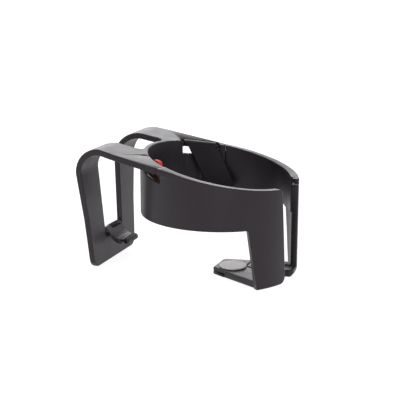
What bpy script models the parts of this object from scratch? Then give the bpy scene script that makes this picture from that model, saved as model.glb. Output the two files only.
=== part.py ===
# Hang-on cup holder: a moulded hook frame goes over a panel or a desk edge, two side arms carry the
# cup ring, the legs and a V-shaped foot, and three small sprung pieces hold the panel and the cup.
# Metres, +Z up, floor at z = 0.  +X runs from the hook to the ring, Y is the width.
import math
import bmesh
import bpy
from mathutils import Matrix, Vector

# ---- driving dimensions (metres, degrees where named so) ----
RING_X = 0.01405           # ring axis, so that the whole part is centred on the origin
R_OUT = 0.0450             # outside radius of the cup ring
R_IN = 0.0405              # inside radius of the cup ring
RIM_Z = 0.0340             # lower edge of the ring above the floor
TOP_Z = 0.0620             # top surface at the ring axis
SLOPE = 0.192              # fall of the top surface per metre towards the far end of the ring
PLATE_T = 0.0034           # thickness of the hook plate
PANEL_X = -0.0729          # outer face of the hook panel at the top, from the ring axis
PANEL_IN = 0.0034          # how far the panel's lower edge leans towards the ring
BEND_R = 0.0155            # outer radius of the hook bend
PANEL_HALF_LOW = 0.0272    # half width of the panel at its lower edge
PANEL_HALF_MID = 0.0305    # the same 30 mm up
PANEL_HALF_HIGH = 0.0338   # the same 47 mm up
PANEL_HALF_TOP = 0.0358    # the same where the bend starts
CREST_HALF = 0.0383        # half width over the highest line of the bend
STRAP_HALF = 0.0445        # half width the straps would have at the ring axis
STRAP_TAPER = 0.087        # sideways taper of the straps towards the hook
WINDOW_HALF_TOP = 0.0160   # half width of the window on top
WINDOW_HALF_MID = 0.0134   # half width of the window below the bend
WINDOW_HALF_LOW = 0.0109   # half width of the window at its lower end
WINDOW_LOW_Z = 0.0145      # lower end of the window above the floor
WINDOW_RING_R = 0.0430     # the window ends on this radius around the ring axis
WINDOW_CORNER = 0.0035     # fillet of the window's two corners beside the ring
NOTCH_DROP = 0.0086        # the side notches reach this far below the top surface
NOTCH_FAR = 143.0          # angular ends of the side notches, degrees from +X
REAR_NOTCH = 112.5         # the rear side notch starts here
FRONT_SPLIT = -116.0       # where the front arm takes over from the hook frame
REAR_SPLIT = 105.0         # where the rear arm takes over from the hook frame
TAIL_END = 166.0           # end of the arm tails behind the hook-side wall
LAP_IN = 0.0428            # the saddle wall ends here, the arm tails start a gap further out
GAP = 0.0003               # assembly gap between touching pieces
BORE_GAP = 0.00009         # radial clearance of the pins in their bores
FOOT_T = 0.0042            # thickness of the feet
LAP_Z = 0.0020             # top of the lower layer where the two feet cross
DISC_X = 0.0108            # centre of the grey disc, from the ring axis
DISC_Y = -0.0070
DISC_R = 0.0078
PIN_R = 0.0009             # hinge pins
STEP_DEG = 4.0             # facet size on the ring
SOFT = 0.0005              # rounding of the moulded edges


def top_at(x, y=0.0):
    """Height of the top surface at x measured from the ring axis."""
    return TOP_Z - SLOPE * x


def material(name, rgb, rough):
    mat = bpy.data.materials.new(name)
    mat.use_nodes = True
    shader = mat.node_tree.nodes["Principled BSDF"]
    shader.inputs["Base Color"].default_value = (rgb[0], rgb[1], rgb[2], 1.0)
    shader.inputs["Roughness"].default_value = rough
    return mat


def obj_from(name, bm, mat=None):
    bmesh.ops.recalc_face_normals(bm, faces=bm.faces[:])
    mesh = bpy.data.meshes.new(name)
    bm.to_mesh(mesh)
    bm.free()
    obj = bpy.data.objects.new(name, mesh)
    bpy.context.collection.objects.link(obj)
    if mat is not None:
        obj.data.materials.append(mat)
    return obj


def loft(rings, name="loft"):
    """Closed solid through rings of equally many points, with a flat cap at each end."""
    bm = bmesh.new()
    rows = [[bm.verts.new(p) for p in ring] for ring in rings]
    bm.faces.new(rows[0][::-1])
    bm.faces.new(rows[-1])
    n = len(rows[0])
    for k in range(len(rows) - 1):
        for i in range(n):
            j = (i + 1) % n
            bm.faces.new((rows[k][i], rows[k][j], rows[k + 1][j], rows[k + 1][i]))
    return obj_from(name, bm)


def inset(points, amount):
    """Move a closed outline inwards (outwards for a negative amount) with mitred corners."""
    n = len(points)
    area = sum(points[i - 1][0] * points[i][1] - points[i][0] * points[i - 1][1] for i in range(n))
    turn = 1.0 if area > 0 else -1.0
    out = []
    for i in range(n):
        p = Vector(points[i])
        before = (p - Vector(points[i - 1])).normalized()
        after = (Vector(points[(i + 1) % n]) - p).normalized()
        n1 = Vector((-before.y, before.x)) * turn
        n2 = Vector((-after.y, after.x)) * turn
        q = p + (n1 + n2) * (amount / max(0.25, 1.0 + n1.dot(n2)))
        out.append((q.x, q.y))
    return out


def soft_levels(t0, t1, c0, c1):
    """(depth, inset) pairs that round the two rims of a slab with quarter circles."""
    levels = []
    if c0 > 0:
        levels += [(t0, c0), (t0 + 0.293 * c0, 0.293 * c0), (t0 + c0, 0.0)]
    else:
        levels += [(t0, 0.0)]
    if c1 > 0:
        levels += [(t1 - c1, 0.0), (t1 - 0.293 * c1, 0.293 * c1), (t1, c1)]
    else:
        levels += [(t1, 0.0)]
    return levels


def prism(points, low, high, name="cut", c_low=0.0, c_high=0.0):
    """Closed solid over a plan outline; low and high are heights or functions of (x, y)."""
    zl = low if callable(low) else (lambda x, y: low)
    zh = high if callable(high) else (lambda x, y: high)
    rings = []
    for depth, amount in soft_levels(0.0, 0.0, c_low, 0.0)[:3 if c_low > 0 else 1]:
        rings.append([(x, y, zl(x, y) + depth) for x, y in inset(points, amount)])
    upper = [(0.0, 0.0)]
    if c_high > 0:
        upper = [(-c_high, 0.0), (-0.293 * c_high, 0.293 * c_high), (0.0, c_high)]
    for depth, amount in upper:
        rings.append([(x, y, zh(x, y) + depth) for x, y in inset(points, amount)])
    return loft(rings, name)


def cylinder(a, b, radius, sides=24, name="cut"):
    """Closed cylinder from point a to point b."""
    a = Vector(a)
    b = Vector(b)
    axis = (b - a).normalized()
    side = axis.orthogonal().normalized()
    other = axis.cross(side)
    bm = bmesh.new()
    rings = []
    for c in (a, b):
        ring = []
        for i in range(sides):
            t = 2 * math.pi * i / sides
            ring.append(bm.verts.new(c + side * radius * math.cos(t) + other * radius * math.sin(t)))
        rings.append(ring)
    bm.faces.new(rings[0][::-1])
    bm.faces.new(rings[1])
    for i in range(sides):
        j = (i + 1) % sides
        bm.faces.new((rings[0][i], rings[0][j], rings[1][j], rings[1][i]))
    return obj_from(name, bm)


def lathe(a, axis, profile, sides=28, name="lathe"):
    """Solid of revolution; profile is a list of (distance along the axis, radius)."""
    a = Vector(a)
    axis = Vector(axis).normalized()
    side = axis.orthogonal().normalized()
    other = axis.cross(side)
    bm = bmesh.new()
    rings = []
    for along, radius in profile:
        ring = []
        for i in range(sides):
            t = 2 * math.pi * i / sides
            ring.append(bm.verts.new(a + axis * along + side * radius * math.cos(t)
                                     + other * radius * math.sin(t)))
        rings.append(ring)
    bm.faces.new(rings[0][::-1])
    bm.faces.new(rings[-1])
    for k in range(len(rings) - 1):
        for i in range(sides):
            j = (i + 1) % sides
            bm.faces.new((rings[k][i], rings[k][j], rings[k + 1][j], rings[k + 1][i]))
    return obj_from(name, bm)


def tube(points, radius, sides=8, name="wire"):
    """Closed round wire along a list of points."""
    pts = [Vector(p) for p in points]
    bm = bmesh.new()
    rings = []
    side = None
    for k, p in enumerate(pts):
        ahead = pts[min(k + 1, len(pts) - 1)] - pts[max(k - 1, 0)]
        ahead.normalize()
        if side is None:
            side = ahead.orthogonal().normalized()
        side = (side - ahead * side.dot(ahead)).normalized()
        other = ahead.cross(side)
        ring = []
        for i in range(sides):
            t = 2 * math.pi * i / sides
            ring.append(bm.verts.new(p + side * radius * math.cos(t) + other * radius * math.sin(t)))
        rings.append(ring)
    bm.faces.new(rings[0][::-1])
    bm.faces.new(rings[-1])
    for k in range(len(rings) - 1):
        for i in range(sides):
            j = (i + 1) % sides
            bm.faces.new((rings[k][i], rings[k][j], rings[k + 1][j], rings[k + 1][i]))
    return obj_from(name, bm)


def bake(obj):
    """Replace the object's mesh by its evaluated mesh and drop its modifiers."""
    deps = bpy.context.evaluated_depsgraph_get()
    mesh = bpy.data.meshes.new_from_object(obj.evaluated_get(deps))
    obj.modifiers.clear()
    old = obj.data
    obj.data = mesh
    bpy.data.meshes.remove(old)
    return obj


def combine(obj, other, how):
    """Boolean with another object, which is used up."""
    mod = obj.modifiers.new("bool", "BOOLEAN")
    mod.operation = how
    mod.solver = "EXACT"
    mod.object = other
    bpy.context.view_layer.update()
    bake(obj)
    bpy.data.objects.remove(other, do_unlink=True)
    return obj


def cut(obj, other):
    return combine(obj, other, "DIFFERENCE")


def add(obj, other):
    return combine(obj, other, "UNION")


def tidy(obj, dist=0.000004):
    bm = bmesh.new()
    bm.from_mesh(obj.data)
    bmesh.ops.remove_doubles(bm, verts=bm.verts[:], dist=dist)
    bmesh.ops.dissolve_degenerate(bm, edges=bm.edges[:], dist=0.000002)
    bm.to_mesh(obj.data)
    bm.free()
    return obj


def rounded(points, radii, seg=4):
    """Round the corners of a closed outline; radii is one number or one per corner."""
    n = len(points)
    if not isinstance(radii, (list, tuple)):
        radii = [radii] * n
    out = []
    for i in range(n):
        p = Vector(points[i])
        a = Vector(points[i - 1]) - p
        b = Vector(points[(i + 1) % n]) - p
        r = radii[i]
        if r <= 0.0:
            out.append((p.x, p.y))
            continue
        half = a.angle(b) / 2
        reach = min(r / math.tan(half), a.length * 0.49, b.length * 0.49)
        r = reach * math.tan(half)
        pa = p + a.normalized() * reach
        pb = p + b.normalized() * reach
        mid = p + (a.normalized() + b.normalized()).normalized() * (r / math.sin(half))
        va = pa - mid
        vb = pb - mid
        total = va.angle(vb)
        turn = 1.0 if va.x * vb.y - va.y * vb.x > 0 else -1.0
        for k in range(seg + 1):
            t = turn * total * k / seg
            c, s = math.cos(t), math.sin(t)
            out.append((mid.x + va.x * c - va.y * s, mid.y + va.x * s + va.y * c))
    return out


def slab(outline, t0, t1, holes=(), name="slab", soft=0.0):
    """Flat solid: outline in the first two coordinates, thickness from t0 to t1 in the third."""
    obj = loft([[(x, y, t) for x, y in inset(outline, k)]
                for t, k in soft_levels(t0, t1, soft, soft)], name)
    for hole in holes:
        rings = []
        for t, k in soft_levels(t0, t1, soft, soft):
            rings.append([(x, y, t) for x, y in inset(hole, -k)])
        first = [(x, y, t0 - 0.001) for x, y, t in rings[0]]
        last = [(x, y, t1 + 0.001) for x, y, t in rings[-1]]
        cut(obj, loft([first] + rings + [last]))
    return obj


def slice_mesh(obj, cuts):
    """Cut the mesh with planes of constant first coordinate, keeping everything."""
    bm = bmesh.new()
    bm.from_mesh(obj.data)
    for value in cuts:
        geom = bm.verts[:] + bm.edges[:] + bm.faces[:]
        bmesh.ops.bisect_plane(bm, geom=geom, dist=1e-7, plane_co=(value, 0, 0), plane_no=(1, 0, 0))
    bm.to_mesh(obj.data)
    bm.free()
    return obj


def band(outline, r0, r1, name="band", soft=0.0):
    """Curved wall: the outline holds (degrees, height) pairs and is rolled onto the ring."""
    flat = slab([(math.radians(d) * R_OUT, z) for d, z in outline], r0, r1, (), name, soft)
    lo = min(d for d, z in outline)
    hi = max(d for d, z in outline)
    first = math.ceil(lo / STEP_DEG) * STEP_DEG - STEP_DEG / 2
    cuts = []
    d = first
    while d < hi:
        if d > lo + 0.3:
            cuts.append(math.radians(d) * R_OUT)
        d += STEP_DEG
    slice_mesh(flat, cuts)
    for v in flat.data.vertices:
        a = v.co.x / R_OUT
        r = v.co.z
        z = v.co.y
        v.co = (r * math.cos(a), r * math.sin(a), z)
    triangulate(flat)
    return flat


def triangulate(obj):
    """Split bent faces into triangles, which are flat whatever the bend."""
    bm = bmesh.new()
    bm.from_mesh(obj.data)
    bmesh.ops.triangulate(bm, faces=bm.faces[:])
    bmesh.ops.recalc_face_normals(bm, faces=bm.faces[:])
    bm.to_mesh(obj.data)
    bm.free()


def fix_normals(obj):
    bm = bmesh.new()
    bm.from_mesh(obj.data)
    bmesh.ops.recalc_face_normals(bm, faces=bm.faces[:])
    bm.to_mesh(obj.data)
    bm.free()


def finish(obj, name, mat, pivot):
    """Name, put the origin on the pivot, place, shade and give the piece its material."""
    tidy(obj)
    obj.name = name
    obj.data.name = name
    obj.data.materials.clear()
    obj.data.materials.append(mat)
    obj.data.transform(Matrix.Translation(-pivot))
    obj.location = pivot + Vector((RING_X, 0.0, 0.0))
    fix_normals(obj)
    for poly in obj.data.polygons:
        poly.use_smooth = True
    obj.data.set_sharp_from_angle(angle=math.radians(32))
    return obj


def sector(d0, d1, reach=0.09, step=8.0):
    """Plan outline of a pie slice around the ring axis."""
    pts = [(0.0, 0.0)]
    n = max(2, int(abs(d1 - d0) / step))
    for i in range(n + 1):
        a = math.radians(d0 + (d1 - d0) * i / n)
        pts.append((reach * math.cos(a), reach * math.sin(a)))
    return pts


# ---- start clean ----
for old in list(bpy.data.objects):
    bpy.data.objects.remove(old, do_unlink=True)

BLACK = material("black_plastic", (0.028, 0.028, 0.030), 0.42)
BLACK_ARM = material("black_plastic_arms", (0.026, 0.026, 0.028), 0.42)
BLACK_FLAP = material("black_plastic_flaps", (0.024, 0.024, 0.026), 0.38)
RED = material("red_plastic", (0.75, 0.07, 0.05), 0.35)
GREY = material("light_grey_pad", (0.60, 0.58, 0.58), 0.70)
STEEL = material("spring_steel", (0.55, 0.55, 0.56), 0.30)
RUBBER = material("black_rubber", (0.020, 0.020, 0.021), 0.70)

# ---- path of the hook plate's outer surface, seen from the side ----
FALL = math.atan(SLOPE)
bend_cx = PANEL_X + BEND_R
bend_cz = top_at(bend_cx) - BEND_R / math.cos(FALL)
panel_len = bend_cz
bend_len = BEND_R * (math.pi / 2 + FALL)


def path(s):
    """Point and outward direction of the hook plate's outer surface at arc length s."""
    if s <= panel_len:
        lean = PANEL_IN * ((panel_len - s) / panel_len) ** 1.0
        return Vector((PANEL_X + lean, 0, s)), Vector((-1, 0, 0))
    if s <= panel_len + bend_len:
        a = math.pi - (s - panel_len) / BEND_R
        out = Vector((math.cos(a), 0, math.sin(a)))
        return Vector((bend_cx, 0, bend_cz)) + out * BEND_R, out
    out = Vector((math.sin(FALL), 0, math.cos(FALL)))
    along = Vector((math.cos(FALL), 0, -math.sin(FALL)))
    start = Vector((bend_cx, 0, bend_cz)) + out * BEND_R
    return start + along * (s - panel_len - bend_len), out


def s_at(x):
    """Arc length of the flat top part at x."""
    start = bend_cx + BEND_R * math.sin(FALL)
    return panel_len + bend_len + (x - start) / math.cos(FALL)


def side_at(x):
    """Half width of the straps on top: a straight line that runs into the ring."""
    return STRAP_HALF + STRAP_TAPER * x


# ---- hook frame: flat pattern, then bent ----
s_top0 = panel_len + bend_len
outline_half = [
    (0.0, PANEL_HALF_LOW),
    (0.0300, PANEL_HALF_MID),
    (0.0470, PANEL_HALF_HIGH),
    (panel_len + 0.001, PANEL_HALF_TOP),
    (panel_len + BEND_R * math.pi / 2, CREST_HALF),
    (s_at(-0.0490), side_at(-0.0490)),
    (s_at(-0.0060), side_at(-0.0060)),
]
right = [(s, -w) for s, w in outline_half]
left = [(s, w) for s, w in outline_half]
outline = right + left[::-1]
outline = rounded(outline, [0.0055] + [0.03] * 5 + [0, 0] + [0.03] * 5 + [0.0055], 4)
# the window's far end follows the ring, with a filleted corner on each side
corner_y = WINDOW_HALF_TOP - WINDOW_CORNER
corner_x = -math.sqrt((WINDOW_RING_R + WINDOW_CORNER) ** 2 - corner_y ** 2)
turn_end = math.atan2(-corner_y, -corner_x)
touch = math.atan2(corner_y, corner_x)
plan = []
for i in range(7):
    a = math.pi / 2 + (turn_end - math.pi / 2) * i / 6
    plan.append((corner_x + WINDOW_CORNER * math.cos(a), corner_y + WINDOW_CORNER * math.sin(a)))
for i in range(1, 9):
    a = touch + 2 * (math.pi - touch) * i / 9
    plan.append((WINDOW_RING_R * math.cos(a), WINDOW_RING_R * math.sin(a)))
plan += [(x, -y) for x, y in plan[:7][::-1]]
arc = [(s_at(x), y) for x, y in plan]
window_top = (s_top0 - 0.002, WINDOW_HALF_TOP - 0.0010)
window = [(WINDOW_LOW_Z, WINDOW_HALF_LOW), (panel_len - 0.005, WINDOW_HALF_MID), window_top] + arc
window += [(window_top[0], -WINDOW_HALF_TOP), (panel_len - 0.005, -WINDOW_HALF_MID)]
window += [(WINDOW_LOW_Z, -WINDOW_HALF_LOW)]
radii = [0.0016, 0.0300, 0.0300] + [0.0] * len(arc) + [0.0300, 0.0300, 0.0016]
window = rounded(window, radii, 4)
hook = slab(outline, -PLATE_T, 0.0, [window], "hook_frame", SOFT)
cuts = [panel_len * 0.5]
cuts += [panel_len + bend_len * i / 9 for i in range(10)]
slice_mesh(hook, cuts)
for v in hook.data.vertices:
    p, out = path(v.co.x)
    v.co = p + out * v.co.z + Vector((0, v.co.y, 0))
triangulate(hook)

# hook-side wall of the ring: full height behind the notches, lower beside them
WALL_UP = 0.0016           # the wall runs up into the plate
gap_deg = math.degrees(GAP / R_OUT)


def drop(d, below, r=R_OUT):
    return top_at(r * math.cos(math.radians(d))) - below


wall = [(NOTCH_FAR + (360.0 - 2 * NOTCH_FAR) * i / 12) for i in range(13)]
wall = [(d, drop(d, WALL_UP)) for d in wall]
low_front = 360.0 + FRONT_SPLIT + 2.0
low_rear = REAR_SPLIT - 2.0
front_run = [360.0 - NOTCH_FAR + 0.01 + (low_front - 360.0 + NOTCH_FAR) * i / 5 for i in range(6)]
rear_full = [low_rear + (REAR_NOTCH - 0.01 - low_rear) * i / 3 for i in range(4)]
rear_run = [REAR_NOTCH + (NOTCH_FAR - 0.01 - REAR_NOTCH) * i / 5 for i in range(6)]
wall_outline = [(d, drop(d, WALL_UP)) for d in rear_full]
wall_outline += [(d, drop(d, NOTCH_DROP)) for d in rear_run] + wall
wall_outline += [(d, drop(d, NOTCH_DROP)) for d in front_run]
wall_outline += [(low_front, RIM_Z), (low_rear, RIM_Z)]
saddle = band(wall_outline, R_IN - 0.0010, LAP_IN, "saddle")
add(hook, saddle)

# ring opening with a rounded upper edge, and the sector that the two arms fill
steps = [math.radians(d) for d in range(0, 360, 4)]
rings = [[(R_IN * math.cos(a), R_IN * math.sin(a), 0.030) for a in steps]]
for up, grow in ((-SOFT, 0.0), (-0.293 * SOFT, 0.293 * SOFT), (0.0, SOFT), (0.0010, SOFT + 0.0010)):
    r = R_IN + grow
    rings.append([(r * math.cos(a), r * math.sin(a), top_at(r * math.cos(a)) + up) for a in steps])
cut(hook, loft(rings))
cut(hook, prism(sector(FRONT_SPLIT - gap_deg, REAR_SPLIT + gap_deg), 0.030, 0.100))

# ---- side arms ----
FRONT_END = -20.5          # far edge of the front arm's band
REAR_END = 16.0            # the rear arm's rim steps down here
REAR_EDGE = 8.0            # near edge of the rear arm's leg
STEP_DOWN = 0.0020         # depth of that step


def front_arm_shape():
    pts = []
    radii = []
    for i in range(9):
        d = -TAIL_END + (FRONT_SPLIT + TAIL_END) * i / 8
        pts.append((d, drop(d, NOTCH_DROP)))
        radii.append(0.0)
    for i in range(17):
        d = FRONT_SPLIT + (FRONT_END - FRONT_SPLIT) * i / 16
        pts.append((d, drop(d, 0.0)))
        radii.append(0.0)
    radii[-1] = 0.0042
    pts += [(-15.2, 0.0), (-42.8, 0.0), (-50.0, RIM_Z), (-TAIL_END, RIM_Z)]
    radii += [0.0040, 0.0, 0.0012, 0.0015]
    return pts, radii


def rear_arm_shape():
    pts = []
    radii = []
    lip = REAR_SPLIT + 2.4
    for i in range(9):
        d = TAIL_END + (lip - TAIL_END) * i / 8
        pts.append((d, drop(d, NOTCH_DROP)))
        radii.append(0.0)
    # a short outer lip under the plate covers the joint line
    pts += [(lip - 0.05, drop(lip, PLATE_T + 0.0005)), (REAR_SPLIT + 0.05, drop(REAR_SPLIT, PLATE_T + 0.0005))]
    radii += [0.0, 0.0]
    for i in range(17):
        d = REAR_SPLIT + (REAR_END - REAR_SPLIT) * i / 16
        pts.append((d, drop(d, 0.0)))
        radii.append(0.0)
    radii[-1] = 0.0005
    pts += [(REAR_END - 0.3, drop(REAR_END, STEP_DOWN)), (REAR_EDGE, drop(REAR_EDGE, STEP_DOWN)),
            (REAR_EDGE, 0.0), (32.6, 0.0), (41.0, RIM_Z), (TAIL_END, RIM_Z)]
    radii += [0.0004, 0.0016, 0.0006, 0.0, 0.0012, 0.0015]
    return pts, radii


def roll_outline(pts, radii):
    """Round the corners of an unrolled outline in true lengths."""
    flat = [(math.radians(d) * R_OUT, z) for d, z in pts]
    flat = rounded(flat, radii, 5)
    return [(math.degrees(u / R_OUT), z) for u, z in flat]


def make_arm(shape, name, sign, split):
    pts, radii = shape()
    obj = band(roll_outline(pts, radii), R_IN, R_OUT, name, SOFT)
    # thin the tail from the inside so that it laps the hook frame's wall
    inner = LAP_IN + GAP
    start = split + sign * 0.2
    step = (TAIL_END + 5.0 - abs(start)) / 15
    tail_cut = [(inner * math.cos(math.radians(start + sign * i * step)),
                 inner * math.sin(math.radians(start + sign * i * step))) for i in range(16)]
    last = start + sign * 15 * step
    tail_cut.append((0.02 * math.cos(math.radians(last)), 0.02 * math.sin(math.radians(last))))
    tail_cut.append((0.02 * math.cos(math.radians(start)), 0.02 * math.sin(math.radians(start))))
    cut(obj, prism(tail_cut, 0.030, 0.100))
    if sign * split < 106.0:
        return obj
    # the strap's straight side runs on as a small fillet until it sinks into the ring
    lean = math.degrees(math.atan(STRAP_TAPER))
    away = STRAP_HALF * math.cos(math.radians(lean))
    begin = split - sign * 0.35
    end = sign * (90.0 + lean + 8.2)
    rings = []
    for i in range(7):
        d = begin + (end - begin) * i / 6
        a = math.radians(d)
        r = away / math.cos(math.radians(abs(d) - 90.0 - lean))
        z = top_at(r * math.cos(a))
        z_in = top_at(R_OUT * math.cos(a))
        section = [(0.0430, z_in + 0.00003), (r - SOFT, z), (r - 0.293 * SOFT, z - 0.293 * SOFT),
                   (r, z - SOFT), (r, z - PLATE_T + 0.0004), (r - 0.0004, z - PLATE_T - 0.0001),
                   (0.0430, z_in - 0.0098)]
        rings.append([(q * math.cos(a), q * math.sin(a), h) for q, h in section])
    flange = loft(rings)
    triangulate(flange)
    add(obj, flange)
    return obj


front_arm = make_arm(front_arm_shape, "front_arm", -1.0, FRONT_SPLIT)
rear_arm = make_arm(rear_arm_shape, "rear_arm", 1.0, REAR_SPLIT)


def polar(d, r):
    return (r * math.cos(math.radians(d)), r * math.sin(math.radians(d)))


def inner_relief(d0, d1, r0, r1):
    """Plan of a slice between two radii, for thinning a leg from the inside."""
    n = max(2, int(abs(d1 - d0) / STEP_DEG))
    far = [polar(d0 + (d1 - d0) * i / n, r1) for i in range(n + 1)]
    near = [polar(d1 + (d0 - d1) * i / n, r0) for i in range(n + 1)]
    return far + near


# the legs are thinner than the ring, from the inside
LEG_IN = 0.0415
cut(rear_arm, prism(inner_relief(-3.0, 20.7, 0.0390, LEG_IN), -0.001, 0.100))
cut(rear_arm, prism(inner_relief(19.3, 47.0, 0.0390, LEG_IN - 0.0001), -0.001, RIM_Z - 0.0006))
cut(front_arm, prism(inner_relief(-55.0, -12.0, 0.0390, LEG_IN), -0.001, RIM_Z - 0.0006))


# feet: two straight bars; the front one laps over the rear one under the grey disc
HUB_X = 0.0176             # the rear foot is full height from here on
FOOT_UP = 0.00012          # the feet clear the floor by this much, the legs stand on it
outer_a = (0.0090, -0.01677)
inner_b = (HUB_X, -0.0051)
front_plan = [polar(-16.8, 0.0430), inner_b, (HUB_X, 0.0082), (0.0012, 0.0050), (0.0007, -0.0122),
              polar(-42.0, 0.0430)]
front_plan += [polar(-42.0 + 25.2 * i / 7, 0.0430) for i in range(1, 7)]
front_plan = rounded(front_plan, [0.0, 0.0004, 0.0004, 0.0028, 0.0014, 0.0] + [0.0] * 6, 3)
front_bar = prism(front_plan, FOOT_UP, FOOT_T, "bar", SOFT, SOFT)
seam = Vector((inner_b[0] - outer_a[0], inner_b[1] - outer_a[1])).normalized()
side = Vector((-seam.y, seam.x))
far_a = Vector(outer_a) - seam * 0.01
far_b = Vector(inner_b) + seam * 0.02
cut(front_bar, prism([tuple(far_a), tuple(far_b), (-0.02, 0.03), (-0.02, -0.03)],
                     -0.001, LAP_Z + GAP))
rear_plan = [polar(-3.4, 0.0449), (HUB_X + GAP, -0.0046), (HUB_X + GAP, 0.0083), polar(18.6, 0.0432)]
rear_plan += [polar(d, 0.0432) for d in (16.0, 13.0, 10.4)]
rear_plan += [polar(d, 0.0449) for d in (9.9, 7.0, 4.0)]
rear_plan = rounded(rear_plan, [0.0026] + [0.0] * 9, 4)
rear_bar = prism(rear_plan, FOOT_UP, FOOT_T, "bar", SOFT, SOFT)
lap_a = Vector(outer_a) + side * GAP
lap_b = Vector(inner_b) + side * GAP
lap_plan = [tuple(lap_b), (HUB_X + 0.002, -0.0040), (HUB_X + 0.002, 0.0085), (0.0012, 0.0050),
            (0.0007, -0.0122), tuple(lap_a)]
lap_plan = rounded(lap_plan, [0.0, 0.0, 0.0, 0.0028, 0.0014, 0.0], 3)
add(rear_bar, prism(lap_plan, FOOT_UP * 2, LAP_Z))
add(front_arm, front_bar)
add(rear_arm, rear_bar)

# the rear leg rolls into its foot with an outer bend
BEND_FOOT = 0.0030
mid_r = R_OUT - BEND_FOOT
bend_section = [(R_OUT + 0.0020, -0.0010), (R_OUT + 0.0020, BEND_FOOT + 0.0040),
                (R_OUT + 0.0003, BEND_FOOT + 0.0010)]
for i in range(5):
    a = math.radians(10.0 + 75.0 * i / 4)
    bend_section.append((mid_r + BEND_FOOT * math.cos(a), BEND_FOOT * (1 - math.sin(a))))
bend_section.append((mid_r - 0.0002, -0.0010))
rings = []
for i in range(15):
    a = math.radians(-9.0 + 4.0 * i)
    rings.append([(r * math.cos(a), r * math.sin(a), z) for r, z in bend_section])
bend_cut = loft(rings)
triangulate(bend_cut)
cut(rear_arm, bend_cut)

# joint rivet under the disc: through the upper layer and the lower layer
cut(front_arm, cylinder((DISC_X, DISC_Y, 0.0015), (DISC_X, DISC_Y, 0.0060), 0.0015 + GAP / 2))
cut(front_arm, cylinder((DISC_X, DISC_Y, 0.0033), (DISC_X, DISC_Y, 0.0060), 0.0032 + GAP))
cut(rear_arm, cylinder((DISC_X, DISC_Y, -0.0010), (DISC_X, DISC_Y, 0.0060), 0.0015 + GAP / 2))
cut(rear_arm, cylinder((DISC_X, DISC_Y, -0.0010), (DISC_X, DISC_Y, 0.0010), 0.0032 + GAP))
foot_rivet = lathe((DISC_X, DISC_Y, 0.0), (0, 0, 1),
                   [(0.0002, 0.0030), (0.0004, 0.0032), (0.0008, 0.0032), (0.0008, 0.0015),
                    (0.0035, 0.0015), (0.0035, 0.0032), (0.0039, 0.0032), (0.0041, 0.0029)], 20)
foot_disc = lathe((DISC_X, DISC_Y, 0.0), (0, 0, 1),
                  [(FOOT_T + 0.00012, DISC_R - 0.0002), (FOOT_T + 0.0003, DISC_R),
                   (FOOT_T + 0.0008, DISC_R), (FOOT_T + 0.0011, DISC_R - 0.0004)], 40)

# lap rivets through the hook frame's wall, blind in the arm tails
RIVETS = [(128.0, 0.0410), (157.0, 0.0430), (-128.0, 0.0410), (-157.0, 0.0430)]
rivets = []
for deg, z in RIVETS:
    c = math.radians(deg)
    out = Vector((math.cos(c), math.sin(c), 0))
    at = Vector((0, 0, z))
    for host in (hook, front_arm, rear_arm):
        if host is front_arm and deg > 0 or host is rear_arm and deg < 0:
            continue
        cut(host, cylinder(at + out * 0.036, at + out * 0.0443, 0.0013 + GAP / 2, 16))
    piece = lathe(at + out * (R_IN - 0.0010), out,
                  [(0.0000, 0.0012), (0.0004, 0.0022), (0.00085, 0.0026), (0.00085, 0.0013),
                   (0.0043, 0.0013), (0.0045, 0.0011)], 16)
    rivets.append(piece)

# relief slit in the plate at the end of the front notch, moulded boss on the hook-side wall
slit_dir = Vector(polar(-143.6, 1.0))
slit_side = Vector((-slit_dir.y, slit_dir.x))
slit = [slit_dir * 0.0395 + slit_side * 0.0007, slit_dir * 0.0456 + slit_side * 0.0007,
        slit_dir * 0.0456 - slit_side * 0.0007, slit_dir * 0.0395 - slit_side * 0.0007]
slit_cut = prism([tuple(p) for p in slit], 0.0652, 0.1000)
cut(hook, slit_cut)

# ---- cup flap: hinge along a chord of the ring, over the rear notch ----
FLAP_MID = 127.0           # middle of the hinge, degrees
FLAP_PERP = 0.0422         # distance of the hinge line from the ring axis
FLAP_REST = 10.0           # inward lean of the flap at rest
hinge_xy = Vector(polar(FLAP_MID, FLAP_PERP))
inward = Vector((-hinge_xy.x, -hinge_xy.y, 0)).normalized()
along = Vector((math.sin(math.radians(FLAP_MID)), -math.cos(math.radians(FLAP_MID)), 0))
hinge_dir = Vector((along.x, along.y, -SLOPE * along.x)).normalized()
FLAP_PIN_DEPTH = 0.0021
hinge_at = Vector((hinge_xy.x, hinge_xy.y, top_at(hinge_xy.x) - FLAP_PIN_DEPTH))


def chord_plan(u0, u1, w0, w1):
    """Plan rectangle: u along the hinge, w inwards from it."""
    out = []
    for u, w in ((u0, w0), (u1, w0), (u1, w1), (u0, w1)):
        p = hinge_xy + Vector((along.x, along.y)) * u + Vector((inward.x, inward.y)) * w
        out.append((p.x, p.y))
    return out


SLOT_HALF = 0.0106
slot_plan = chord_plan(-SLOT_HALF, SLOT_HALF, -0.0021, 0.0060)
cut(hook, prism(slot_plan, 0.0607, 0.1000))
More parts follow.
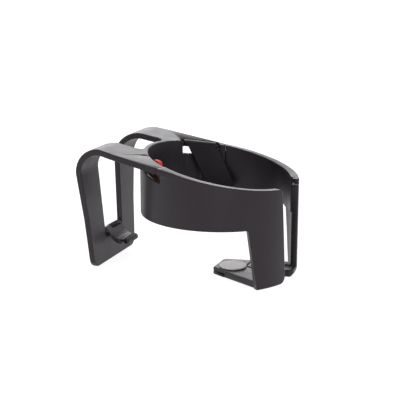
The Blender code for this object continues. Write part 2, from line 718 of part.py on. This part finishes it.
# open notches at both ends of the flap's head
near_notch = chord_plan(-0.0123, -SLOT_HALF + 0.0004, -0.0007, 0.0062)
far_notch = chord_plan(SLOT_HALF - 0.0004, 0.0123, -0.0019, 0.0062)
cut(hook, prism(near_notch, lambda x, y: top_at(x) - 0.0029, lambda x, y: top_at(x) + 0.0050))
cut(hook, prism(far_notch, lambda x, y: top_at(x) - 0.0029, lambda x, y: top_at(x) + 0.0050))
flap_pin_a = hinge_at - hinge_dir * 0.0136
flap_pin_b = hinge_at + hinge_dir * 0.0136
PIN_SMALL = 0.0006
pin_room = hinge_dir * 0.0004
cut(hook, cylinder(flap_pin_a - pin_room, flap_pin_b + pin_room, PIN_SMALL + BORE_GAP, 12))
cup_flap_pin = cylinder(flap_pin_a, flap_pin_b, PIN_SMALL, 12)

flap_outline = [(140.0, drop(140.0, 0.0026)), (113.6, drop(113.6, 0.0026)), (110.5, 0.0600),
                (97.0, 0.0370), (120.0, 0.0370)]
flap_radii = [0.0008, 0.0008, 0.0030, 0.0030, 0.0030]
cup_flap = band(roll_outline(flap_outline, flap_radii), R_IN - 0.0025, R_IN - 0.0005, "cup_flap", 0.0004)
neck_plan = chord_plan(-0.0098, 0.0098, 0.0004, 0.0034)
neck = prism(neck_plan, lambda x, y: top_at(x) - 0.0031, lambda x, y: top_at(x) - 0.0006)
add(cup_flap, neck)


def rot_about(axis_at, axis, degrees):
    return Matrix.Translation(axis_at) @ Matrix.Rotation(math.radians(degrees), 4, axis) \
        @ Matrix.Translation(-axis_at)


# the leaf leans inwards at rest, its hinge head stays level with the strap
turn = rot_about(hinge_at, hinge_dir, FLAP_REST)
probe = turn @ (hinge_at - Vector((0, 0, 0.02)))
if (probe - hinge_at).dot(inward) < 0:
    turn = rot_about(hinge_at, hinge_dir, -FLAP_REST)
cup_flap.data.transform(turn)
head_pts = rounded([(-0.0019, -0.0018), (0.0019, -0.0018), (0.0019, 0.0020), (-0.0019, 0.0020)],
                   [0.0010, 0.0004, 0.0009, 0.0011], 3)
up = hinge_dir.cross(inward).normalized()
if up.z < 0:
    up = -up
bm = bmesh.new()
ends = []
for u in (-0.0100, 0.0100):
    ends.append([bm.verts.new(hinge_at + hinge_dir * u + inward * w + up * h) for w, h in head_pts])
bm.faces.new(ends[0][::-1])
bm.faces.new(ends[1])
for i in range(len(head_pts)):
    j = (i + 1) % len(head_pts)
    bm.faces.new((ends[0][i], ends[0][j], ends[1][j], ends[1][i]))
add(cup_flap, obj_from("head", bm))
cut(cup_flap, cylinder(flap_pin_a, flap_pin_b, PIN_SMALL + BORE_GAP, 12))
# room for the spring in the middle of the head, closed on top
cut(cup_flap, prism(chord_plan(-0.0030, 0.0030, -0.0040, 0.0016), 0.0590,
                    lambda x, y: top_at(x) - 0.0007))


def torsion_spring(at, axis, start_dir, turns, mean_r, wire_r, width, leg_a, leg_b):
    """Coil round the axis with a straight leg at each end, legs given as lengths."""
    axis = axis.normalized()
    s = (start_dir - axis * start_dir.dot(axis)).normalized()
    o = axis.cross(s)
    pts = []
    n = int(turns * 14)
    first = at - axis * width / 2 + s * mean_r
    tangent = o
    pts.append(first - tangent * leg_a)
    for i in range(n + 1):
        t = 2 * math.pi * turns * i / n
        pts.append(at + axis * (width * (i / n - 0.5)) + s * mean_r * math.cos(t)
                   + o * mean_r * math.sin(t))
    t = 2 * math.pi * turns
    tangent = -s * math.sin(t) + o * math.cos(t)
    pts.append(pts[-1] + tangent * leg_b)
    return tube(pts, wire_r, 6)


cup_flap_spring = torsion_spring(hinge_at, hinge_dir, -inward, 3.25, 0.00100, 0.00018, 0.0040,
                                 0.0001, 0.0010)

# ---- pressure flap at the foot of the window, inside the throat ----
PF_Z = 0.0182              # hinge height above the floor
PF_HALF = 0.0093           # half width of the flap's ramp
PF_KNUCKLE = 0.0101        # half width of its knuckle
PF_TIP = 0.0068            # half width of the rubber grip at its tip
pf_x = PANEL_X + PANEL_IN * (panel_len - PF_Z) / panel_len + PLATE_T * 0.5
pf_at = Vector((pf_x, 0, PF_Z))
# side outline from the hinge: top of the ramp, the rib that the grip sits on, the hollow underside


def curve(a, b, c, d, n):
    """Points along a cubic curve with its two ends at a and d."""
    out = []
    for i in range(n + 1):
        t = i / n
        k = ((1 - t) ** 3, 3 * t * (1 - t) ** 2, 3 * t * t * (1 - t), t ** 3)
        out.append((k[0] * a[0] + k[1] * b[0] + k[2] * c[0] + k[3] * d[0],
                    k[0] * a[1] + k[1] * b[1] + k[2] * c[1] + k[3] * d[1]))
    return out


upper = curve((0.0002, 0.0017), (0.0032, 0.0010), (0.0045, -0.0058), (0.0105, -0.0056), 12)
lower = curve((0.0103, -0.0081), (0.0084, -0.0092), (0.0062, -0.0064), (0.0042, -0.0046), 7)
tongue = [(0.0105, -0.0063), (0.0126, -0.0063), (0.0126, -0.0073), (0.0105, -0.0073)]
tail = [(0.0024, -0.0028), (0.0014, -0.0033), (-0.0010, -0.0033), (-0.0012, -0.0008)]
ramp = [(-0.0004, 0.0016)] + upper + tongue + lower + tail


def extrude_y(points, y0, y1, origin, name="ext", soft=0.0):
    rings = []
    for y, k in soft_levels(y0, y1, soft, soft):
        rings.append([(origin.x + x, y, origin.z + z) for x, z in inset(points, k)])
    return loft(rings, name)


pressure_flap = extrude_y(ramp, -PF_HALF, PF_HALF, pf_at, "flap", 0.0003)
# the ramp narrows towards its tip
for sgn in (-1.0, 1.0):
    taper = [(0.0030, PF_HALF + 0.0001), (0.0060, 0.0088), (0.0085, 0.0078), (0.0105, 0.0067),
             (0.0160, 0.0066), (0.0160, 0.0200), (0.0030, 0.0200)]
    cut(pressure_flap, prism([(pf_x + x, sgn * y) for x, y in taper], -0.005, 0.040))
pf_side = Vector((0, PF_KNUCKLE, 0))
add(pressure_flap, cylinder(pf_at - pf_side, pf_at + pf_side, 0.00165, 20))
cut(pressure_flap, cylinder(pf_at - Vector((0, 0.02, 0)), pf_at + Vector((0, 0.02, 0)),
                            PIN_R + BORE_GAP, 16))
cut(pressure_flap, extrude_y([(-0.0035, -0.0042), (0.0026, -0.0042), (0.0026, 0.0040),
                              (-0.0035, 0.0040)], -0.0042, 0.0042, pf_at))
bead_at = pf_at + Vector((0.0127, 0, -0.0068))
bead_side = Vector((0, PF_TIP, 0))
bead = lathe(bead_at - bead_side, (0, 1, 0),
             [(0.0, 0.0012), (0.0006, 0.0019), (2 * bead_side.y - 0.0006, 0.0019),
              (2 * bead_side.y, 0.0012)], 20)
tongue_slot = extrude_y([(0.0100, -0.0060), (0.0129, -0.0060), (0.0129, -0.0076), (0.0100, -0.0076)],
                        -PF_HALF - 0.002, PF_HALF + 0.002, pf_at)
cut(bead, tongue_slot)
pin_reach = 0.0138
cut(hook, cylinder(pf_at - Vector((0, pin_reach + 0.0003, 0)), pf_at + Vector((0, pin_reach + 0.0003, 0)),
                   PIN_R + BORE_GAP, 16))
pressure_pin = cylinder(pf_at - Vector((0, pin_reach, 0)), pf_at + Vector((0, pin_reach, 0)), PIN_R, 16)
pressure_spring = torsion_spring(pf_at, Vector((0, 1, 0)), Vector((-1, 0, 0)), 5.75, 0.00150,
                                 0.00028, 0.0070, 0.0001, 0.0020)

# ---- red release tab inside the front notch ----
TAB_DEG = -133.3
TAB_R = 0.0379
TAB_Z = 0.0510
tab_out = Vector((math.cos(math.radians(TAB_DEG)), math.sin(math.radians(TAB_DEG)), 0))
tab_along = Vector((-tab_out.y, tab_out.x, 0))
tab_at = tab_out * TAB_R + Vector((0, 0, TAB_Z))


def oriented(points, u0, u1, at, across, inwards, name="ori"):
    """Extrude a side outline (inwards, up) along a horizontal direction."""
    bm = bmesh.new()
    a = [bm.verts.new(at + across * u0 + inwards * x + Vector((0, 0, z))) for x, z in points]
    b = [bm.verts.new(at + across * u1 + inwards * x + Vector((0, 0, z))) for x, z in points]
    bm.faces.new(a)
    bm.faces.new(b[::-1])
    n = len(points)
    for i in range(n):
        j = (i + 1) % n
        bm.faces.new((a[i], b[i], b[j], a[j]))
    return obj_from(name, bm)


def face_plate(points, w0, w1, at, across, inwards, name="face", soft=0.0):
    """Solid from a front outline (along, up), from depth w0 to depth w1 inwards."""
    rings = []
    for w, k in soft_levels(w0, w1, soft, soft):
        rings.append([at + across * x + inwards * w + Vector((0, 0, z)) for x, z in inset(points, k)])
    return loft(rings, name)


tab_in = -tab_out
TAB_HALF = 0.0047
half_face = [(0.0032, -0.0008), (0.0032, 0.0066), (0.0064, 0.0066), (0.0064, 0.0092),
             (TAB_HALF, 0.0118), (0.0043, 0.0161)]
tab_radii = [0.0004, 0.0004, 0.0010, 0.0010, 0.0010, 0.0035]
tab_face = rounded(half_face + [(-x, z) for x, z in half_face[::-1]], tab_radii + tab_radii[::-1], 4)
release_tab = face_plate(tab_face, -0.0013, 0.0009, tab_at, tab_along, tab_in, "tab", 0.0004)
knuckle = TAB_HALF - 0.0002
add(release_tab, cylinder(tab_at - tab_along * knuckle, tab_at + tab_along * knuckle, 0.0017, 18))
cut(release_tab, cylinder(tab_at - tab_along * 0.01, tab_at + tab_along * 0.01,
                          PIN_SMALL + BORE_GAP, 12))
cut(release_tab, oriented([(-0.0030, -0.0030), (0.0030, -0.0030), (0.0030, 0.0024),
                           (-0.0030, 0.0024)], -0.0014, 0.0014, tab_at, tab_along, tab_in))
lug = rounded([(-0.0036, -0.0050), (0.0018, -0.0022), (0.0018, 0.0018), (-0.0036, 0.0018)],
              [0.0, 0.0008, 0.0016, 0.0], 4)
for u0, u1 in ((-0.0066, -0.0050), (0.0050, 0.0066)):
    add(hook, oriented(lug, u0, u1, tab_at, tab_along, tab_in))
cut(hook, cylinder(tab_at - tab_along * 0.0063, tab_at + tab_along * 0.0063,
                   PIN_SMALL + BORE_GAP, 12))
release_pin = cylinder(tab_at - tab_along * 0.0061, tab_at + tab_along * 0.0061, PIN_SMALL, 12)
release_spring = torsion_spring(tab_at, tab_along, tab_in, 2.25, 0.00112, 0.00018, 0.0018,
                                0.0001, 0.0010)

# ---- finish every piece: moving pieces get their origin on their hinge line ----
FIXED = Vector((0.0, 0.0, 0.0))
PIECES = [
    (hook, "hook_frame", BLACK, FIXED),
    (front_arm, "front_arm", BLACK_ARM, FIXED),
    (rear_arm, "rear_arm", BLACK_ARM, FIXED),
    (cup_flap, "cup_flap", BLACK_FLAP, hinge_at),
    (cup_flap_pin, "cup_flap_pin", STEEL, hinge_at),
    (cup_flap_spring, "cup_flap_spring", STEEL, hinge_at),
    (pressure_flap, "pressure_flap", BLACK_FLAP, pf_at),
    (bead, "pressure_grip", RUBBER, pf_at),
    (pressure_pin, "pressure_flap_pin", STEEL, pf_at),
    (pressure_spring, "pressure_flap_spring", STEEL, pf_at),
    (release_tab, "release_tab", RED, tab_at),
    (release_pin, "release_tab_pin", STEEL, tab_at),
    (release_spring, "release_tab_spring", STEEL, tab_at),
    (foot_rivet, "foot_rivet", STEEL, FIXED),
    (foot_disc, "foot_disc", GREY, FIXED),
    (rivets[0], "lap_rivet_rear_1", STEEL, FIXED),
    (rivets[1], "lap_rivet_rear_2", STEEL, FIXED),
    (rivets[2], "lap_rivet_front_1", STEEL, FIXED),
    (rivets[3], "lap_rivet_front_2", STEEL, FIXED),
]
for obj, name, mat, pivot in PIECES:
    finish(obj, name, mat, pivot)
for obj in bpy.data.objects:
    print(obj.name, sum(len(p.vertices) - 2 for p in obj.data.polygons))
for label, at, axis in (("cup_flap", hinge_at, hinge_dir), ("pressure_flap", pf_at, Vector((0, 1, 0))),
                        ("release_tab", tab_at, tab_along)):
    print("hinge", label, [round(c, 6) for c in at + Vector((RING_X, 0, 0))],
          [round(c, 6) for c in axis])
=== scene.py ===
# Looks for the hook-over cup holder: moulded black plastic, one red tab, a light grey pad.
import math
import bpy
import bmesh
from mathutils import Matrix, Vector

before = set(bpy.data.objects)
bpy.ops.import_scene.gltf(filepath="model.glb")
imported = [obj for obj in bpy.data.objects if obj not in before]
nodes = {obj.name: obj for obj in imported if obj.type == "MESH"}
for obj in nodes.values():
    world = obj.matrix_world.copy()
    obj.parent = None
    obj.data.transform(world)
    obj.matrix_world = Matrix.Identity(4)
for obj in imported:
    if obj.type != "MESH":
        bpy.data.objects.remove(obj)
scene = bpy.context.scene

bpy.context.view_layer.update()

NODE_STEP = 220.0           # spacing of the nodes in the editor
WHITE = (1.0, 1.0, 1.0, 1.0)
MIDDLE = (0.3, 0.7)         # most noise values lie in this band

# smooth shading of the CAD pieces
WELD_DISTANCE = 0.000003    # metres
SHARP_ANGLE = 30.0          # degrees, steeper edges stay sharp
NORMAL_WEIGHT = 50          # neutral setting of the weighted normals

# surroundings
FLOOR_HALF = 4.0            # metres
FLOOR_Z = -0.0002           # just under the part's feet
FLOOR_GREY = (0.30, 0.30, 0.30, 1.0)
FLOOR_ROUGH = 0.9
FLOOR_SPEC = 0.1
FLOOR_GLOW = 0.88           # lifts the floor to plain white
HORIZON_TOP = 0.30          # the sky is brightest below this height of the view direction
CEILING_LOW = 0.80          # and dimmest above this one
HORIZON_STRENGTH = 1.0
CEILING_STRENGTH = 0.30

# camera
CAMERA_AT = (0.20434, -0.52537, 0.18303)
CAMERA_TILT = 75.677        # degrees from looking straight down
CAMERA_TURN = 21.054        # degrees about the vertical
LENS_MM = 90.9
SENSOR_MM = 36.0
CLIP_START = 0.01


# ---------------------------------------------------------------- node helpers
def node(tree, kind, **values):
    """New shader node, placed to the right of the ones before it."""
    n = tree.nodes.new(kind)
    n.location = (len(tree.nodes) * NODE_STEP, 0.0)
    for key, value in values.items():
        setattr(n, key, value)
    return n


def new_material(name):
    """Material that holds one Principled shader and its output."""
    mat = bpy.data.materials.new(name)
    mat.use_nodes = True
    tree = mat.node_tree
    tree.nodes.clear()
    out = node(tree, "ShaderNodeOutputMaterial")
    shader = node(tree, "ShaderNodeBsdfPrincipled")
    tree.links.new(shader.outputs["BSDF"], out.inputs["Surface"])
    return mat, tree, shader


def object_coord(tree):
    return node(tree, "ShaderNodeTexCoord").outputs["Object"]


def noise(tree, coord, scale, detail, rough):
    n = node(tree, "ShaderNodeTexNoise")
    n.inputs["Scale"].default_value = scale
    n.inputs["Detail"].default_value = detail
    n.inputs["Roughness"].default_value = rough
    tree.links.new(coord, n.inputs["Vector"])
    return n.outputs["Fac"]


def ramp(tree, fac, band, dark, light):
    """Colour that runs from dark to light while fac crosses the band."""
    n = node(tree, "ShaderNodeValToRGB")
    for element, position, rgb in zip(n.color_ramp.elements, band, (dark, light)):
        element.position = position
        element.color = rgb + (1.0,)
    tree.links.new(fac, n.inputs["Fac"])
    return n.outputs["Color"]


def remap(tree, fac, band, low, high):
    """Value that runs from low to high while fac crosses the band."""
    n = node(tree, "ShaderNodeMapRange")
    n.inputs["From Min"].default_value, n.inputs["From Max"].default_value = band
    n.inputs["To Min"].default_value = low
    n.inputs["To Max"].default_value = high
    tree.links.new(fac, n.inputs["Value"])
    return n.outputs["Result"]


def scaled(tree, value, factor):
    n = node(tree, "ShaderNodeMath", operation="MULTIPLY")
    tree.links.new(value, n.inputs[0])
    n.inputs[1].default_value = factor
    return n.outputs["Value"]


def total(tree, a, b):
    n = node(tree, "ShaderNodeMath", operation="ADD")
    tree.links.new(a, n.inputs[0])
    tree.links.new(b, n.inputs[1])
    return n.outputs["Value"]


def bump(tree, height, strength, distance, normal=None):
    n = node(tree, "ShaderNodeBump")
    n.inputs["Strength"].default_value = strength
    n.inputs["Distance"].default_value = distance
    tree.links.new(height, n.inputs["Height"])
    if normal is not None:
        tree.links.new(normal, n.inputs["Normal"])
    return n.outputs["Normal"]


def surface(tree, shader, color, rough, normal):
    tree.links.new(color, shader.inputs["Base Color"])
    tree.links.new(rough, shader.inputs["Roughness"])
    tree.links.new(normal, shader.inputs["Normal"])


# ---------------------------------------------------------------- materials
def moulded_plastic(name, dark, light, rough, grain, spec):
    """Satin moulded plastic: two sizes of spark-eroded grain over faint flow mottling."""
    mat, tree, shader = new_material(name)
    coord = object_coord(tree)
    flow = noise(tree, coord, scale=38.0, detail=3.0, rough=0.55)
    cloud = noise(tree, coord, scale=160.0, detail=4.0, rough=0.6)
    fine = noise(tree, coord, scale=2400.0, detail=2.0, rough=0.6)
    wide = noise(tree, coord, scale=900.0, detail=2.0, rough=0.5)
    wear = total(tree, scaled(tree, cloud, 0.6), scaled(tree, fine, 0.4))
    relief = bump(tree, wide, strength=grain * 0.6, distance=0.00006)
    surface(tree, shader,
            color=ramp(tree, flow, (0.25, 0.75), dark, light),
            rough=remap(tree, wear, (0.25, 0.75), *rough),
            normal=bump(tree, fine, strength=grain, distance=0.00003, normal=relief))
    shader.inputs["Specular IOR Level"].default_value = spec
    shader.inputs["Specular Tint"].default_value = (1.0, 0.86, 1.0, 1.0)
    shader.inputs["IOR"].default_value = 1.5
    return mat


def smooth_plastic(name, dark, light, rough):
    """Smooth dull plastic with light flow marks and hairlines drawn out along Z."""
    mat, tree, shader = new_material(name)
    coord = object_coord(tree)
    flow = noise(tree, coord, scale=90.0, detail=3.0, rough=0.5)
    fine = noise(tree, coord, scale=1500.0, detail=2.0, rough=0.5)
    stretch = node(tree, "ShaderNodeMapping")
    stretch.inputs["Scale"].default_value = (1.0, 1.0, 0.08)
    tree.links.new(coord, stretch.inputs["Vector"])
    lines = noise(tree, stretch.outputs["Vector"], scale=3000.0, detail=1.0, rough=0.5)
    surface(tree, shader,
            color=ramp(tree, flow, MIDDLE, dark, light),
            rough=remap(tree, lines, MIDDLE, *rough),
            normal=bump(tree, fine, strength=0.12, distance=0.00003))
    shader.inputs["Specular IOR Level"].default_value = 0.25
    return mat


def pad_material(name):
    """Light grey felt-like pad: short mottled fibres, dull surface."""
    mat, tree, shader = new_material(name)
    coord = object_coord(tree)
    blotch = noise(tree, coord, scale=420.0, detail=4.0, rough=0.65)
    fibre = noise(tree, coord, scale=2600.0, detail=3.0, rough=0.7)
    surface(tree, shader,
            color=ramp(tree, blotch, MIDDLE, (0.50, 0.48, 0.48), (0.63, 0.61, 0.61)),
            rough=remap(tree, fibre, MIDDLE, 0.72, 0.95),
            normal=bump(tree, fibre, strength=0.5, distance=0.00008))
    shader.inputs["Sheen Weight"].default_value = 0.25
    shader.inputs["Sheen Roughness"].default_value = 0.5
    return mat


def rubber_material(name):
    """Dull black rubber with a dusty bloom."""
    mat, tree, shader = new_material(name)
    coord = object_coord(tree)
    bloom = noise(tree, coord, scale=260.0, detail=4.0, rough=0.6)
    fine = noise(tree, coord, scale=2000.0, detail=2.0, rough=0.6)
    surface(tree, shader,
            color=ramp(tree, bloom, (0.3, 0.75), (0.010, 0.010, 0.011), (0.022, 0.022, 0.023)),
            rough=remap(tree, bloom, MIDDLE, 0.55, 0.75),
            normal=bump(tree, fine, strength=0.3, distance=0.00005))
    return mat


def steel_material(name):
    """Blackened steel: dark, faintly mottled, finely grained."""
    mat, tree, shader = new_material(name)
    coord = object_coord(tree)
    tone = noise(tree, coord, scale=500.0, detail=3.0, rough=0.5)
    fine = noise(tree, coord, scale=5000.0, detail=2.0, rough=0.5)
    surface(tree, shader,
            color=ramp(tree, tone, MIDDLE, (0.050, 0.050, 0.053), (0.095, 0.092, 0.090)),
            rough=remap(tree, fine, MIDDLE, 0.34, 0.5),
            normal=bump(tree, fine, strength=0.15, distance=0.00002))
    shader.inputs["Metallic"].default_value = 1.0
    return mat


BODY = moulded_plastic("black_body", (0.0072, 0.0066, 0.0074), (0.0112, 0.0104, 0.0114),
                       rough=(0.36, 0.48), grain=0.35, spec=0.36)
ARMS = moulded_plastic("black_arms", (0.0066, 0.0061, 0.0068), (0.0104, 0.0096, 0.0106),
                       rough=(0.35, 0.47), grain=0.35, spec=0.36)
FLAP = moulded_plastic("black_flap", (0.0058, 0.0054, 0.0060), (0.0090, 0.0084, 0.0093),
                       rough=(0.36, 0.48), grain=0.30, spec=0.17)
PRESS = moulded_plastic("black_press", (0.0066, 0.0061, 0.0068), (0.0104, 0.0096, 0.0106),
                        rough=(0.36, 0.48), grain=0.30, spec=0.52)
RIVET = moulded_plastic("black_rivet", (0.0055, 0.0052, 0.0057), (0.0080, 0.0076, 0.0082),
                        rough=(0.32, 0.44), grain=0.2, spec=0.36)
RED = smooth_plastic("red_tab", (0.60, 0.030, 0.028), (0.70, 0.044, 0.040), rough=(0.57, 0.68))
PAD = pad_material("grey_pad")
RUBBER = rubber_material("black_rubber")
STEEL = steel_material("spring_steel")

LOOKS = {
    "hook_frame": BODY,
    "front_arm": ARMS,
    "rear_arm": ARMS,
    "cup_flap": FLAP,
    "pressure_flap": PRESS,
    "pressure_grip": RUBBER,
    "release_tab": RED,
    "foot_disc": PAD,
}


def look_of(name):
    """The pins, the springs and the foot rivet are steel."""
    if name.startswith("lap_rivet"):
        return RIVET
    return LOOKS.get(name, STEEL)


for name, obj in nodes.items():
    if not obj.material_slots:
        obj.data.materials.append(look_of(name))
    for slot in obj.material_slots:
        slot.material = look_of(name)

# ---------------------------------------------------------------- smooth shading of the CAD pieces
for obj in nodes.values():
    weld = obj.modifiers.new("weld", "WELD")
    weld.merge_threshold = WELD_DISTANCE
    for poly in obj.data.polygons:
        poly.use_smooth = True
    obj.data.set_sharp_from_angle(angle=math.radians(SHARP_ANGLE))
    even = obj.modifiers.new("even_normals", "WEIGHTED_NORMAL")
    even.mode = "FACE_AREA"
    even.weight = NORMAL_WEIGHT
    even.keep_sharp = True

# ---------------------------------------------------------------- floor and surroundings
bm = bmesh.new()
bmesh.ops.create_grid(bm, x_segments=2, y_segments=2, size=FLOOR_HALF)
mesh = bpy.data.meshes.new("floor")
bm.to_mesh(mesh)
bm.free()
floor = bpy.data.objects.new("floor", mesh)
floor.location.z = FLOOR_Z
scene.collection.objects.link(floor)
floor_mat, _, floor_shader = new_material("pale_floor")
floor_shader.inputs["Base Color"].default_value = FLOOR_GREY
floor_shader.inputs["Roughness"].default_value = FLOOR_ROUGH
floor_shader.inputs["Specular IOR Level"].default_value = FLOOR_SPEC
floor_shader.inputs["Emission Color"].default_value = WHITE
floor_shader.inputs["Emission Strength"].default_value = FLOOR_GLOW
floor.data.materials.append(floor_mat)

# a bright horizon and a dimmer ceiling, as in a white cove
world = bpy.data.worlds.new("studio")
scene.world = world
world.use_nodes = True
sky = world.node_tree
back = sky.nodes["Background"]
direction = node(sky, "ShaderNodeTexCoord").outputs["Generated"]
split = node(sky, "ShaderNodeSeparateXYZ")
sky.links.new(direction, split.inputs["Vector"])
strength = remap(sky, split.outputs["Z"], (HORIZON_TOP, CEILING_LOW),
                 HORIZON_STRENGTH, CEILING_STRENGTH)
sky.links.new(strength, back.inputs["Strength"])
back.inputs["Color"].default_value = WHITE


def area(name, at, target, size, watts):
    """Rectangular lamp, not itself seen by the camera."""
    data = bpy.data.lights.new(name, "AREA")
    data.shape = "RECTANGLE"
    data.size, data.size_y = size
    data.energy = watts
    obj = bpy.data.objects.new(name, data)
    obj.location = at
    aim = Vector(target) - Vector(at)
    obj.rotation_euler = aim.to_track_quat("-Z", "Y").to_euler()
    obj.visible_camera = False
    scene.collection.objects.link(obj)


area("top_softbox", at=(0.05, 0.10, 0.75), target=(0.0, 0.0, 0.03), size=(0.7, 0.7), watts=2.5)
area("front_fill", at=(0.42, -1.05, 0.22), target=(0.0, 0.0, 0.045), size=(0.45, 0.30), watts=1.2)
area("back_softbox", at=(-0.45, 0.75, 0.40), target=(0.0, 0.0, 0.04), size=(0.8, 0.5), watts=3.4)

# ---------------------------------------------------------------- camera
cam = bpy.data.cameras.new("camera")
cam.lens = LENS_MM
cam.sensor_width = SENSOR_MM
cam.clip_start = CLIP_START
camera = bpy.data.objects.new("camera", cam)
camera.location = CAMERA_AT
camera.rotation_euler = (math.radians(CAMERA_TILT), 0.0, math.radians(CAMERA_TURN))
scene.collection.objects.link(camera)
scene.camera = camera
scene.view_settings.view_transform = "Standard"
